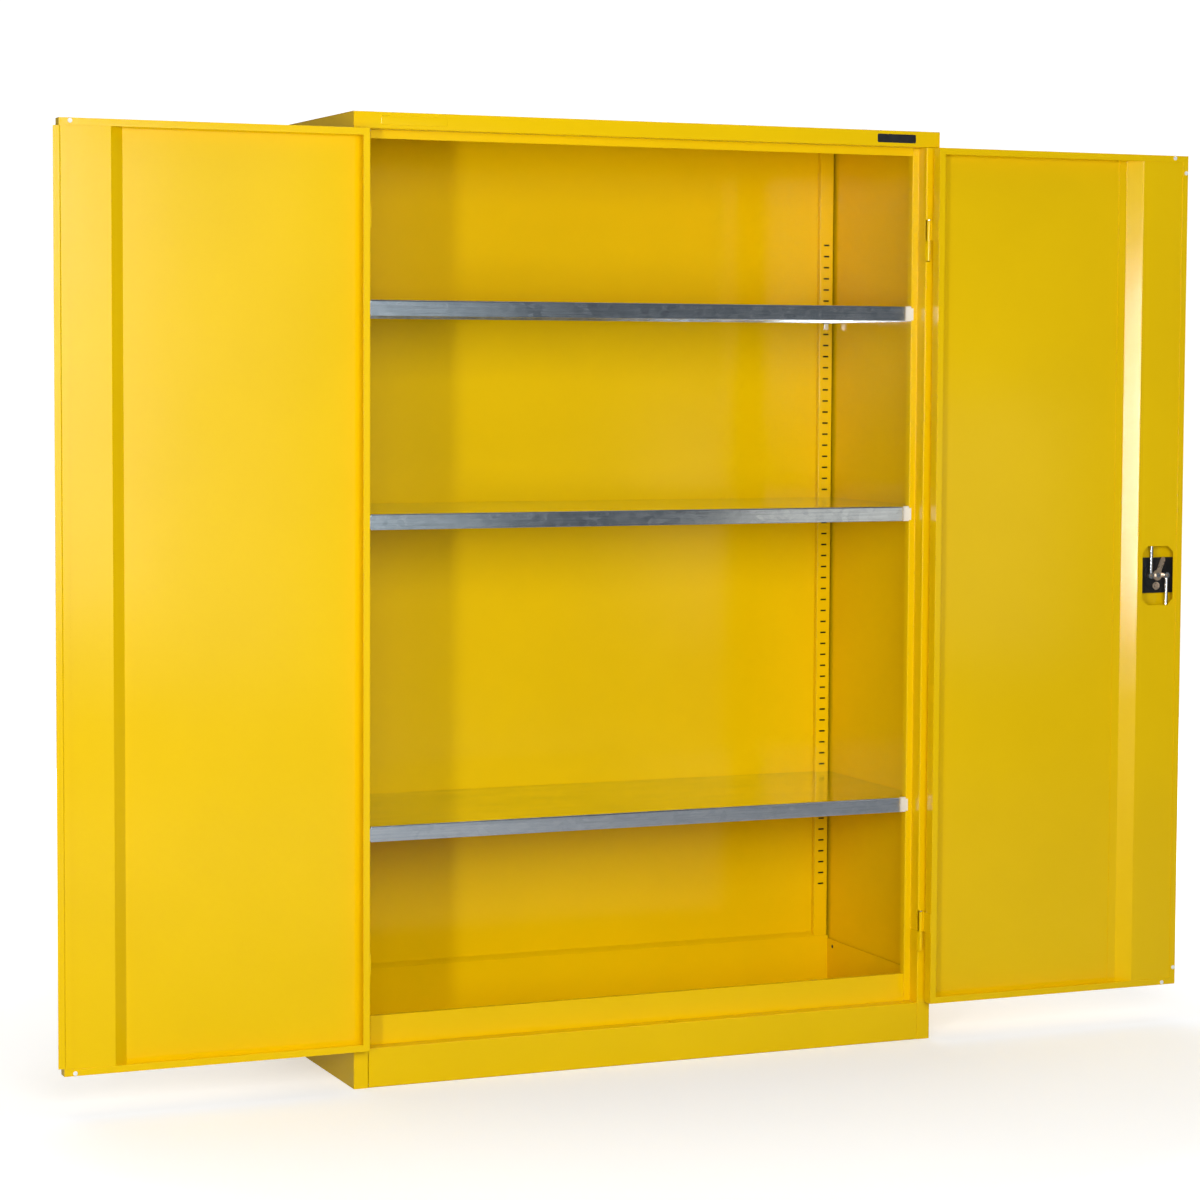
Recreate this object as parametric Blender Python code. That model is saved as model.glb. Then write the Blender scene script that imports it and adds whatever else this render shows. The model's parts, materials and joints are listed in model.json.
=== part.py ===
"""Two-door flammable storage cabinet with three lift-out shelves, doors swung fully open.

Units are metres, +Z is up and +Y points from the doors to the back panel.
The cabinet stands on z = 0. The origin is under the middle of its open outline.

Two working frames are used:
    cabinet: x across, v = depth behind the front plane, z up. World y is FRONT_Y + v.
    door:    s = distance from the hinge axis along the door, n = depth behind the outer
             face, z up. Each door hangs on an empty on its hinge axis.
"""
import math

import bmesh
import bpy
from mathutils import Vector

# ------------------------------------------------------------------ driving dimensions
CABINET_W = 1.230
CABINET_H = 1.830
CABINET_D = 0.4635
BODY_SHEET = 0.0012
DOOR_SHEET = 0.0010
GAP = 0.0003                     # between pieces that touch on the real cabinet
BEND_R = 0.0018                  # bend radius at the middle of a sheet
BEND_STEPS = 3

# front frame of the body
LIP_W = 0.029                    # front lip of a side panel, seen from the front
STOP_W = 0.014                   # stop strip behind the closed doors
JAMB_RETURN = 0.0154             # leg behind the stop strip
REAR_FLANGE = 0.018
HEADER_H = 0.0315
HEADER_STOP_DROP = 0.016
PLINTH_H = 0.0755
PLINTH_SETBACK = 0.0010          # back of the plinth's ledge before the stop strips
PLINTH_FOOT = 0.024

# sump tray at the bottom
SUMP_FLOOR_Z = 0.030
SUMP_TOP_Z = 0.130
SUMP_REAR_Z = 0.1365             # top of the rear wall, which stands before the uprights
SUMP_FLANGE_RISE = 0.0075        # sloped flange from that wall up to the back panel
SUMP_SIDE_CLEAR = 0.003          # tray's sides from the side panels
SUMP_HEM = 0.012

# doors
DOOR_T = 0.0265
DOOR_LIP = 0.013
DOOR_EDGE_R = 0.0024
DOOR_TOP_GAP = 0.0020            # to the header's underside
DOOR_BOTTOM_GAP = 0.0030         # to the plinth's ledge
DOOR_SIDE_GAP = 0.0028           # to the jamb
MEETING_GAP = 0.0060             # between the closed doors
CLOSED_CLEARANCE = 0.0004        # from the closed doors to the shelf fronts
OPEN_ANGLE = math.radians(180.0)

# hinges
PIVOT_INSET = 0.0255             # hinge axis from the cabinet's side
PIVOT_PROUD = 0.0053             # hinge axis in front of the front plane
KNUCKLE_R = 0.0040
KNUCKLE_H = 0.040
LEAF_T = 0.0016
HINGE_PIN_R = 0.0020
HINGE_PIN_HEAD_R = 0.0034
HINGE_BORE_CLEARANCE = 0.0003
HINGE_FROM_FLOOR = 0.2222
HINGE_FROM_TOP = 0.2165
HINGE_SPLIT = 0.0002             # half the gap between the two knuckles
NOTCH_EXTRA = 0.0015             # notch in the lip beyond the knuckles
NOTCH_W = 0.0105

# door stiffeners, one hat section at each free edge
STIFFENER_FACE = {"left": 0.0945, "right": 0.1055}
STIFFENER_RUN = 0.026
STIFFENER_FOOT = 0.018
STIFFENER_LEG_END = 0.006

# meeting strip on the left door and the nylon bumpers
STRIP_REACH = 0.0115
STRIP_LAP = 0.016
STRIP_STEP = 0.0024
STRIP_TOP_GAP = 0.0145
STRIP_BOTTOM_GAP = 0.0155
BUMPER_R = 0.0042
BUMPER_T = 0.0018
BUMPER_FROM_END = 0.0052
BUMPER_LEFT_INSET = 0.0142
BUMPER_RIGHT_INSET = 0.0322
BUMPER_EDGE_INSET = 0.0052
BUMPER_EDGE_FROM_END = 0.035

# slotted uprights
UPRIGHT_W = 0.032
UPRIGHT_DEPTH = 0.012
UPRIGHT_TOP_GAP = 0.012
SLOT_W = 0.013
SLOT_H = 0.0034
SLOT_PITCH = 0.0236
SLOT_FROM_TOP = 0.2118           # highest slot below the cabinet's top
SLOT_LOWEST_Z = 0.245

# shelves, hung at the slots nearest these shares of the cabinet's height
SHELF_SHARES = {"top": 0.794, "middle": 0.575, "bottom": 0.252}
SHELF_H = 0.030
SHELF_SHEET = 0.0010
SHELF_EDGE_R = 0.002
SHELF_EAR = 0.0045               # overlap of the fascia in front of the stop strip
SHELF_SIDE_GAP = 0.0008
CLIP_T = 0.0014
CLIP_W = 0.011
CLIP_LEDGE = 0.012
CLIP_LEG = 0.013
CLIP_HOOK = 0.0030

# lock on the right door
LOCK_Z = 0.934
LOCK_FROM_EDGE = 0.050
CUTOUT_W = 0.074
CUTOUT_H = 0.122
CUTOUT_FROM_EDGE = 0.057
CUTOUT_CORNER = 0.013
HOUSING_W = 0.082
HOUSING_H = 0.073
HOUSING_T = 0.0080
HOUSING_RING_R = 0.031
HOUSING_RING_WALL = 0.0028
HOUSING_RING_T = 0.0018
NECK_R = 0.0345
DISH_R = 0.040
DISH_T = 0.003
SPINDLE_R = 0.0075
GRIP_HUB_R = 0.0125
GRIP_HUB_T = 0.012
GRIP_WING_L = 0.084
GRIP_WING_W = 0.013
GRIP_WING_T = 0.014
GRIP_TAPER = 0.7                 # width of a wing near its tip, as a share of its root
CYLINDER_R = 0.0085
CYLINDER_DROP = 0.0225
CYLINDER_PROUD = 0.0012
KEYWAY_W = 0.0016
KEYWAY_H = 0.0080
KEYWAY_DEPTH = 0.0060
CAM_T = 0.0024
CAM_PIN_R = 0.0030
CAM_PIN_L = 0.0068
CAM_THROW = 0.019                # cam pins from the spindle's axis
CAM_END_R = 0.0055
CAM_ARM = 0.8                    # half width of the cam's arm, as a share of its end radius
CAM_HUB_R = 0.011
TONGUE_L = 0.040
TONGUE_W = 0.011
TONGUE_ANGLE = math.radians(22.0)
SCREW_HEAD_R = 0.0055
SCREW_HEAD_T = 0.0030
SCREW_R = 0.0028
SCREW_L = 0.0085
ROD_R = 0.0038
ROD_FROM_INNER = 0.0085          # rods' middle from the door's inner face
ROD_SWING = 0.21                 # sideways travel of a rod's end, as a share of the throw
ROD_EYE_R = 0.0062
ROD_EYE_T = 0.0056
ROD_BACKSET = 0.006              # rod's tip below the door's end when unlocked
RUNNING = 0.0003                 # radial clearance of turning pieces
GUIDE_W = 0.034
GUIDE_T = 0.004
GUIDE_FROM_END = 0.012
GUIDE_REACH = (0.0085, 0.0060)   # guide from the rod's middle, toward the outer and inner face
ROD_SLOP = 0.0006
ROUND = 32                       # sides of a large round piece
SMALL_ROUND = 16

# ------------------------------------------------------------------ worked-out places
CLOSED_V = DOOR_T + STRIP_STEP + DOOR_SHEET
DOOR_REACH = 2.0 * PIVOT_PROUD + CLOSED_V
SHELF_FASCIA_V = CLOSED_V + CLOSED_CLEARANCE
STOP_V = SHELF_FASCIA_V + SHELF_SHEET + GAP
HEADER_RETURN = CLOSED_V + GAP
PLINTH_LEDGE = STOP_V - PLINTH_SETBACK
FRONT_Y = -(CABINET_D - DOOR_REACH) / 2.0
PIVOT_X = CABINET_W / 2.0 - PIVOT_INSET
HEADER_Z = CABINET_H - HEADER_H
DOOR_TOP_Z = HEADER_Z - DOOR_TOP_GAP
DOOR_BOTTOM_Z = PLINTH_H + DOOR_BOTTOM_GAP
DOOR_HINGE_S = LIP_W + DOOR_SIDE_GAP - PIVOT_INSET
DOOR_FREE_S = PIVOT_X - MEETING_GAP / 2.0
JAMB_U = LIP_W + STOP_W
JAMB_V = STOP_V + JAMB_RETURN
LEAF_REACH = DOOR_T
HINGE_Z = (HINGE_FROM_FLOOR, CABINET_H - HINGE_FROM_TOP)
BACK_INNER_V = CABINET_D - BODY_SHEET - GAP - DOOR_SHEET
SUMP_SIDE_U = BODY_SHEET + SUMP_SIDE_CLEAR
UPRIGHT_U = SUMP_SIDE_U + BODY_SHEET + GAP
UPRIGHT_BACK_V = BACK_INNER_V - GAP
UPRIGHT_REAR_FACE_V = UPRIGHT_BACK_V - UPRIGHT_DEPTH
SUMP_BACK_V = UPRIGHT_REAR_FACE_V - GAP
UPRIGHT_FRONT_V = JAMB_V + GAP + BODY_SHEET + GAP
UPRIGHT_FRONT_FACE_V = UPRIGHT_FRONT_V + UPRIGHT_DEPTH
UPRIGHT_FOOT_Z = SUMP_FLOOR_Z + BODY_SHEET + GAP
SLOT_TOP_Z = CABINET_H - SLOT_FROM_TOP
SLOT_COUNT = int((SLOT_TOP_Z - SLOT_LOWEST_Z) / SLOT_PITCH) + 1
LOCK_S = DOOR_FREE_S - LOCK_FROM_EDGE
HOUSING_N0 = DOOR_SHEET + GAP
HOUSING_N1 = HOUSING_N0 + HOUSING_T
ROD_N = DOOR_T - ROD_FROM_INNER
CAM_N0 = ROD_N - ROD_R - GAP - CAM_T
CAM_N1 = CAM_N0 + CAM_T
YELLOW = (0.83, 0.58, 0.01)
ZINC = (0.60, 0.62, 0.63)
BLACK = (0.02, 0.02, 0.02)
NYLON = (0.90, 0.90, 0.87)


# ------------------------------------------------------------------ scene helpers
def clear_scene():
    for item in list(bpy.data.objects):
        bpy.data.objects.remove(item, do_unlink=True)


def material(name, colour, roughness, metallic):
    """A Principled material of its own for one node."""
    made = bpy.data.materials.new(name)
    made.use_nodes = True
    shader = made.node_tree.nodes["Principled BSDF"]
    shader.inputs["Base Color"].default_value = (*colour, 1.0)
    shader.inputs["Roughness"].default_value = roughness
    shader.inputs["Metallic"].default_value = metallic
    return made


def empty(name, location, angle=0.0, parent=None):
    """A joint's axis: an empty that its moving pieces hang on."""
    made = bpy.data.objects.new(name, None)
    made.location = location
    made.rotation_euler = (0.0, 0.0, angle)
    made.parent = parent
    bpy.context.scene.collection.objects.link(made)
    return made


def node(name, mesh, finish, parent=None, location=(0.0, 0.0, 0.0), rotation=(0.0, 0.0, 0.0), smooth=False):
    """One named piece with its own material."""
    made = bpy.data.objects.new(name, mesh)
    made.location = location
    made.rotation_euler = rotation
    made.parent = parent
    mesh.materials.append(material(name, *finish))
    if smooth:
        mesh.shade_smooth()
        mesh.set_sharp_from_angle(angle=math.radians(35.0))
    bpy.context.scene.collection.objects.link(made)
    return made


def combine(piece, mesh, operation):
    """Cut a mesh from a piece, or join it on, with an exact Boolean."""
    tool = bpy.data.objects.new(piece.name + "_tool", mesh)
    tool.parent = piece.parent
    tool.location = piece.location
    tool.rotation_euler = piece.rotation_euler
    tool.hide_render = True
    tool.display_type = "WIRE"
    bpy.context.scene.collection.objects.link(tool)
    step = piece.modifiers.new(operation.title(), "BOOLEAN")
    step.operation = operation
    step.solver = "EXACT"
    step.object = tool


def painted(roughness=0.32):
    return YELLOW, roughness, 0.0


def plated(roughness=0.35):
    return ZINC, roughness, 1.0


# ------------------------------------------------------------------ mesh helpers
def finish_mesh(name, shape):
    bmesh.ops.recalc_face_normals(shape, faces=shape.faces)
    mesh = bpy.data.meshes.new(name)
    shape.to_mesh(mesh)
    shape.free()
    return mesh


def to_axes(a, b, c, axis):
    """Outline point (a, b) and height c along the extrusion axis."""
    if axis == "X":
        return Vector((c, a, b))
    if axis == "Y":
        return Vector((a, c, b))
    return Vector((a, b, c))


def add_prism(shape, outline, low, high, axis="Z"):
    """Extrude a closed outline along one axis into the given bmesh."""
    bottom = [shape.verts.new(to_axes(a, b, low, axis)) for a, b in outline]
    top = [shape.verts.new(to_axes(a, b, high, axis)) for a, b in outline]
    shape.faces.new(bottom)
    shape.faces.new(top)
    count = len(outline)
    for i in range(count):
        j = (i + 1) % count
        shape.faces.new((bottom[i], bottom[j], top[j], top[i]))


def prism(name, outline, low, high, axis="Z"):
    shape = bmesh.new()
    add_prism(shape, outline, low, high, axis)
    return finish_mesh(name, shape)


def rectangle(a0, a1, b0, b1):
    return [(a0, b0), (a1, b0), (a1, b1), (a0, b1)]


def boxes(name, corners):
    """One mesh of separate boxes, each given as (x0, x1, y0, y1, z0, z1)."""
    shape = bmesh.new()
    for x0, x1, y0, y1, z0, z1 in corners:
        add_prism(shape, rectangle(x0, x1, y0, y1), z0, z1)
    return finish_mesh(name, shape)


def circle(radius, sides, centre=(0.0, 0.0)):
    turns = [2.0 * math.pi * (i + 0.5) / sides for i in range(sides)]
    return [(centre[0] + radius * math.cos(t), centre[1] + radius * math.sin(t)) for t in turns]


def long_hole(half_length, radius, centre):
    """A round-ended slot, long along its first axis."""
    half = SMALL_ROUND // 2
    points = []
    for end, start in ((1.0, -math.pi / 2.0), (-1.0, math.pi / 2.0)):
        for i in range(half + 1):
            turn = start + math.pi * i / half
            points.append((centre[0] + end * half_length + radius * math.cos(turn),
                           centre[1] + radius * math.sin(turn)))
    return points


def folded(path, thickness, radius=BEND_R):
    """Outline of a sheet folded along a path through the middle of its thickness."""
    points = [Vector(p) for p in path]
    spine = [(points[0], (points[1] - points[0]).normalized())]
    for before, here, after in zip(points, points[1:], points[2:]):
        into = (here - before).normalized()
        out = (after - here).normalized()
        bend = math.atan2(into.x * out.y - into.y * out.x, into.dot(out))
        back = radius * math.tan(abs(bend) / 2.0)
        side = math.copysign(1.0, bend)
        centre = here - into * back + side * radius * Vector((-into.y, into.x))
        for i in range(BEND_STEPS + 1):
            turn = bend * i / BEND_STEPS
            along = Vector((into.x * math.cos(turn) - into.y * math.sin(turn),
                            into.x * math.sin(turn) + into.y * math.cos(turn)))
            spine.append((centre - side * radius * Vector((-along.y, along.x)), along))
    spine.append((points[-1], (points[-1] - points[-2]).normalized()))
    half = thickness / 2.0
    left = [p + half * Vector((-d.y, d.x)) for p, d in spine]
    right = [p - half * Vector((-d.y, d.x)) for p, d in spine]
    return [tuple(p) for p in left + right[::-1]]


def mirrored(outline):
    """A right-hand outline joined to its mirror image across x = 0."""
    return outline + [(-x, y) for x, y in reversed(outline)]


def from_side(side, outline):
    """Outline (u, v) measured in from a cabinet side, in world x and y."""
    return [(side * (CABINET_W / 2.0 - u), FRONT_Y + v) for u, v in outline]


def on_door(side, outline):
    """Outline (s, n) of a closed door in the frame of its hinge empty."""
    return [(-side * s, n + PIVOT_PROUD) for s, n in outline]


def door_box(side, s0, s1, n0, n1, z0, z1):
    """Box on a door, as the corners that boxes() takes."""
    low, high = sorted((-side * s0, -side * s1))
    return (low, high, n0 + PIVOT_PROUD, n1 + PIVOT_PROUD, z0, z1)


# ------------------------------------------------------------------ body
def side_panel(name, side):
    """Side wall folded into lip, jamb return, stop strip and rear flange."""
    half = BODY_SHEET / 2.0
    path = [(JAMB_U - half, JAMB_V), (JAMB_U - half, STOP_V + half), (LIP_W - half, STOP_V + half),
            (LIP_W - half, half), (half, half), (half, CABINET_D - half), (REAR_FLANGE, CABINET_D - half)]
    top = CABINET_H - BODY_SHEET - GAP
    mesh = prism(name, from_side(side, folded(path, BODY_SHEET)), 0.0, top)
    panel = node(name, mesh, painted())
    ceiling = HEADER_Z - GAP
    behind_apron = from_side(side, rectangle(-0.001, JAMB_U + 0.001, -0.001, BODY_SHEET + GAP))
    above_jamb = from_side(side, rectangle(BODY_SHEET + GAP, JAMB_U + 0.001, -0.001, JAMB_V + 0.001))
    combine(panel, prism("apron_cut", behind_apron, ceiling, top + 0.001), "DIFFERENCE")
    combine(panel, prism("jamb_cut", above_jamb, ceiling, top + 0.001), "DIFFERENCE")
    notch = from_side(side, rectangle(LIP_W - NOTCH_W, LIP_W + 0.001, -0.001, BODY_SHEET + BEND_R + 0.0005))
    shape = bmesh.new()
    for z in HINGE_Z:
        add_prism(shape, notch, z - KNUCKLE_H - NOTCH_EXTRA, z + KNUCKLE_H + NOTCH_EXTRA)
    combine(panel, finish_mesh("hinge_notches", shape), "DIFFERENCE")


def back_panel():
    half = CABINET_W / 2.0 - BODY_SHEET - BEND_R
    corner = (-half, half, FRONT_Y + BACK_INNER_V, FRONT_Y + BACK_INNER_V + DOOR_SHEET,
              GAP, CABINET_H - BODY_SHEET - GAP)
    node("back_panel", boxes("back_panel", [corner]), painted())


def rod_port(door_s):
    """World x and y where a locked rod of the closed right door stands."""
    return PIVOT_X - door_s, FRONT_Y + ROD_N


def top_panel():
    """Top sheet folded down into the header and back under it."""
    half = BODY_SHEET / 2.0
    path = [(CABINET_D, CABINET_H - half), (half, CABINET_H - half), (half, HEADER_Z + half),
            (HEADER_RETURN, HEADER_Z + half)]
    outline = [(FRONT_Y + v, z) for v, z in folded(path, BODY_SHEET)]
    half_w = CABINET_W / 2.0
    panel = node("top_panel", prism("top_panel", outline, -half_w, half_w, "X"), painted())
    inside = half_w - BODY_SHEET - 2.0 * GAP
    y0 = FRONT_Y + BODY_SHEET + GAP
    y1 = FRONT_Y + HEADER_RETURN + 0.001
    z1 = CABINET_H - BODY_SHEET - GAP
    ends = [(inside, half_w + 0.001, y0, y1, HEADER_Z - 0.001, z1),
            (-half_w - 0.001, -inside, y0, y1, HEADER_Z - 0.001, z1)]
    combine(panel, boxes("return_ends", ends), "DIFFERENCE")
    port = circle(ROD_R + ROD_SLOP + RUNNING, SMALL_ROUND, rod_port(LOCK_S - CAM_THROW / 2.0))
    combine(panel, prism("rod_port", port, HEADER_Z - 0.001, HEADER_Z + BODY_SHEET + 0.001), "DIFFERENCE")


def header_stop():
    half = CABINET_W / 2.0 - JAMB_U - GAP
    bar = (-half, half, FRONT_Y + HEADER_RETURN + GAP, FRONT_Y + HEADER_RETURN + GAP + BODY_SHEET,
           HEADER_Z - HEADER_STOP_DROP, HEADER_Z + HEADER_STOP_DROP)
    node("header_stop", boxes("header_stop", [bar]), painted())


def plinth_front():
    """Kick plate between the side lips, with a ledge that the doors pass over."""
    half = BODY_SHEET / 2.0
    path = [(PLINTH_FOOT, half), (half, half), (half, PLINTH_H - half),
            (PLINTH_LEDGE - half, PLINTH_H - half), (PLINTH_LEDGE - half, PLINTH_H - PLINTH_FOOT)]
    outline = [(FRONT_Y + v, z) for v, z in folded(path, BODY_SHEET)]
    half_w = CABINET_W / 2.0 - LIP_W - GAP
    plinth = node("plinth_front", prism("plinth_front", outline, -half_w, half_w, "X"), painted())
    port = circle(ROD_R + ROD_SLOP + RUNNING, SMALL_ROUND, rod_port(LOCK_S + CAM_THROW / 2.0))
    hole = prism("rod_port", port, PLINTH_H - BODY_SHEET - 0.001, PLINTH_H + 0.001)
    combine(plinth, hole, "DIFFERENCE")


def sump_tray():
    """Liquid-tight tray that fills the base, notched round the jambs, with a hemmed front.

    Its rear wall stands before the rear uprights and is flanged up to the back panel.
    """
    def outline(inset):
        front = STOP_V + GAP + inset
        notch = JAMB_V + GAP + inset
        narrow = CABINET_W / 2.0 - JAMB_U - GAP - inset
        wide = CABINET_W / 2.0 - SUMP_SIDE_U - inset
        back = SUMP_BACK_V - inset
        half = [(narrow, front), (narrow, notch), (wide, notch), (wide, back)]
        return mirrored([(x, FRONT_Y + v) for x, v in half])
    tray = node("sump_tray", prism("sump_tray", outline(0.0), SUMP_FLOOR_Z, SUMP_TOP_Z), painted())
    hollow = prism("sump_hollow", outline(BODY_SHEET), SUMP_FLOOR_Z + BODY_SHEET, SUMP_TOP_Z + 0.001)
    combine(tray, hollow, "DIFFERENCE")
    half_w = CABINET_W / 2.0 - JAMB_U - GAP - BODY_SHEET / 2.0
    y0 = FRONT_Y + STOP_V + GAP + BODY_SHEET / 2.0
    hem = (-half_w, half_w, y0, y0 + SUMP_HEM, SUMP_TOP_Z - BODY_SHEET, SUMP_TOP_Z)
    combine(tray, boxes("sump_hem", [hem]), "UNION")
    half = BODY_SHEET / 2.0
    wide = CABINET_W / 2.0 - SUMP_SIDE_U
    rear_y = FRONT_Y + SUMP_BACK_V
    rim = (-wide, wide, rear_y - BODY_SHEET, rear_y, SUMP_TOP_Z - half, SUMP_REAR_Z)
    combine(tray, boxes("sump_rim", [rim]), "UNION")
    path = [(SUMP_BACK_V - half, SUMP_TOP_Z), (SUMP_BACK_V - half, SUMP_REAR_Z - half),
            (BACK_INNER_V - GAP - half, SUMP_REAR_Z + SUMP_FLANGE_RISE)]
    between = CABINET_W / 2.0 - UPRIGHT_U - UPRIGHT_W - GAP
    slope = [(FRONT_Y + v, z) for v, z in folded(path, BODY_SHEET)]
    combine(tray, prism("sump_flange", slope, -between, between, "X"), "UNION")


def slot_z(number):
    return SLOT_TOP_Z - number * SLOT_PITCH


def shelf_slot(share):
    """Number, counted from the top, of the slot nearest a share of the cabinet's height."""
    return round((SLOT_TOP_Z - share * CABINET_H) / SLOT_PITCH)


def upright(name, side, leg_v, face_v, foot_z):
    """Channel with a ladder of slots in its face; face_v is the face's outer side."""
    half = BODY_SHEET / 2.0
    toward = math.copysign(1.0, leg_v - face_v)
    u0 = UPRIGHT_U + half
    u1 = UPRIGHT_U + UPRIGHT_W - half
    face = face_v + toward * half
    path = [(u0, leg_v), (u0, face), (u1, face), (u1, leg_v)]
    mesh = prism(name, from_side(side, folded(path, BODY_SHEET)), foot_z, CABINET_H - UPRIGHT_TOP_GAP)
    post = node(name, mesh, painted())
    middle = side * (CABINET_W / 2.0 - UPRIGHT_U - UPRIGHT_W / 2.0)
    y = FRONT_Y + face
    slots = [(middle - SLOT_W / 2.0, middle + SLOT_W / 2.0, y - BODY_SHEET, y + BODY_SHEET,
              slot_z(k) - SLOT_H / 2.0, slot_z(k) + SLOT_H / 2.0) for k in range(SLOT_COUNT)]
    combine(post, boxes("slots", slots), "DIFFERENCE")


# ------------------------------------------------------------------ shelves
def shelf_bottom(number):
    """A shelf rests on clips whose blades lie at the foot of a slot."""
    return slot_z(number) - SLOT_H / 2.0 + GAP + CLIP_T + GAP


def shelf(name, number):
    """Galvanised pan, open below, notched round the four uprights."""
    low = shelf_bottom(number)
    high = low + SHELF_H

    def outline(inset):
        narrow = CABINET_W / 2.0 - JAMB_U - 2.0 * GAP - inset
        wide = CABINET_W / 2.0 - BODY_SHEET - SHELF_SIDE_GAP - inset
        rear = CABINET_W / 2.0 - UPRIGHT_U - UPRIGHT_W - SHELF_SIDE_GAP - inset
        front_notch = UPRIGHT_FRONT_FACE_V + 2.0 * GAP + inset
        rear_notch = UPRIGHT_REAR_FACE_V - 2.0 * GAP - inset
        half = [(narrow, SHELF_FASCIA_V + inset), (narrow, front_notch), (wide, front_notch),
                (wide, rear_notch), (rear, rear_notch), (rear, BACK_INNER_V - SHELF_SIDE_GAP - inset)]
        return mirrored([(x, FRONT_Y + v) for x, v in half])
    shape = bmesh.new()
    add_prism(shape, outline(0.0), low, high)
    nose = [e for e in shape.edges if all(v.co.z > high - GAP for v in e.verts)
            and all(v.co.y < FRONT_Y + SHELF_FASCIA_V + GAP for v in e.verts)]
    bmesh.ops.bevel(shape, geom=nose, offset=SHELF_EDGE_R, segments=2, profile=0.5, affect="EDGES")
    pan = node(name, finish_mesh(name, shape), plated())
    hollow = prism("hollow", outline(SHELF_SHEET), low - 0.001, high - SHELF_SHEET)
    combine(pan, hollow, "DIFFERENCE")
    ear = CABINET_W / 2.0 - JAMB_U + SHELF_EAR
    y0 = FRONT_Y + SHELF_FASCIA_V
    plate = (-ear, ear, y0, y0 + SHELF_SHEET, low + SHELF_EDGE_R, high - 2.0 * SHELF_EDGE_R)
    combine(pan, boxes("fascia", [plate]), "UNION")


def shelf_clip(name, side, number, face_v, outward):
    """Zinc clip: a blade through a slot, a ledge under the shelf and a leg down the post."""
    blade = slot_z(number) - SLOT_H / 2.0 + GAP
    top = blade + CLIP_T
    gap = GAP * outward
    face = FRONT_Y + face_v + gap
    back = FRONT_Y + face_v - outward * (BODY_SHEET + GAP)
    hook = back - outward * CLIP_T
    tip = face + outward * CLIP_LEDGE
    leg = face + outward * CLIP_T
    outline = [(tip, top), (hook, top), (hook, blade - CLIP_HOOK), (back, blade - CLIP_HOOK),
               (back, blade), (face, blade), (face, blade - CLIP_LEG), (leg, blade - CLIP_LEG),
               (leg, blade), (tip, blade)]
    middle = side * (CABINET_W / 2.0 - UPRIGHT_U - UPRIGHT_W / 2.0)
    mesh = prism(name, outline, middle - CLIP_W / 2.0, middle + CLIP_W / 2.0, "X")
    node(name, mesh, plated())


# ------------------------------------------------------------------ hinges
def hinge_leaf(name, parent, side, base_z, leaf_u):
    """Half of a butt hinge: a knuckle on the axis and a joggled leaf at inset leaf_u."""
    knuckle_a = KNUCKLE_R - LEAF_T / 2.0
    leaf_a = leaf_u - PIVOT_INSET
    path = [(knuckle_a, 0.0), (leaf_a, PIVOT_PROUD - LEAF_T / 2.0), (leaf_a, PIVOT_PROUD + LEAF_REACH)]
    strip = [(-side * a, b) for a, b in folded(path, LEAF_T, LEAF_T)]
    top_z = base_z + KNUCKLE_H - HINGE_SPLIT
    leaf = node(name, prism(name, strip, base_z, top_z), painted(), parent, smooth=True)
    combine(leaf, prism("knuckle", circle(KNUCKLE_R, SMALL_ROUND), base_z, top_z), "UNION")
    bore = circle(HINGE_PIN_R + HINGE_BORE_CLEARANCE, SMALL_ROUND)
    combine(leaf, prism("bore", bore, base_z - 0.001, top_z + 0.001), "DIFFERENCE")


def hinge_pin(name, parent, middle_z):
    """Steel pin with a flat head above the upper knuckle."""
    shape = bmesh.new()
    add_prism(shape, circle(HINGE_PIN_R, SMALL_ROUND), middle_z - KNUCKLE_H, middle_z + KNUCKLE_H + GAP)
    pin = node(name, finish_mesh(name, shape), plated(), parent, smooth=True)
    head_z = middle_z + KNUCKLE_H + GAP
    head = prism("head", circle(HINGE_PIN_HEAD_R, SMALL_ROUND), head_z - GAP / 2.0, head_z + LEAF_T)
    combine(pin, head, "UNION")


def hinges(label, side, frame_axis, door_axis):
    """Two butt hinges: the frame holds the lower knuckle and the door the upper one."""
    frame_u = LIP_W + GAP + LEAF_T / 2.0
    door_u = LIP_W + DOOR_SIDE_GAP - GAP - LEAF_T / 2.0
    for place, z in zip(("lower", "upper"), HINGE_Z):
        hinge_leaf(f"hinge_frame_leaf_{label}_{place}", frame_axis, side, z - KNUCKLE_H, frame_u)
        hinge_leaf(f"hinge_door_leaf_{label}_{place}", door_axis, side, z + HINGE_SPLIT, door_u)
        hinge_pin(f"hinge_pin_{label}_{place}", frame_axis, z)


# ------------------------------------------------------------------ doors
def door_skin(name, parent, side):
    """Door pan: outer sheet, four edge flanges and inner lips."""
    outer = door_box(side, DOOR_HINGE_S, DOOR_FREE_S, 0.0, DOOR_T, DOOR_BOTTOM_Z, DOOR_TOP_Z)
    shape = bmesh.new()
    add_prism(shape, rectangle(*outer[:4]), *outer[4:])
    front = [e for e in shape.edges if all(v.co.y < PIVOT_PROUD + GAP for v in e.verts)]
    bmesh.ops.bevel(shape, geom=front, offset=DOOR_EDGE_R, segments=3, profile=0.5, affect="EDGES")
    skin = node(name, finish_mesh(name, shape), painted(), parent)
    t = DOOR_SHEET
    inside = door_box(side, DOOR_HINGE_S + t, DOOR_FREE_S - t, t, DOOR_T - t, DOOR_BOTTOM_Z + t, DOOR_TOP_Z - t)
    lip = DOOR_LIP
    mouth = door_box(side, DOOR_HINGE_S + lip, DOOR_FREE_S - lip, DOOR_T - 2.0 * t, DOOR_T + t,
                     DOOR_BOTTOM_Z + lip, DOOR_TOP_Z - lip)
    combine(skin, boxes("inside", [inside]), "DIFFERENCE")
    combine(skin, boxes("mouth", [mouth]), "DIFFERENCE")
    return skin


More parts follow.
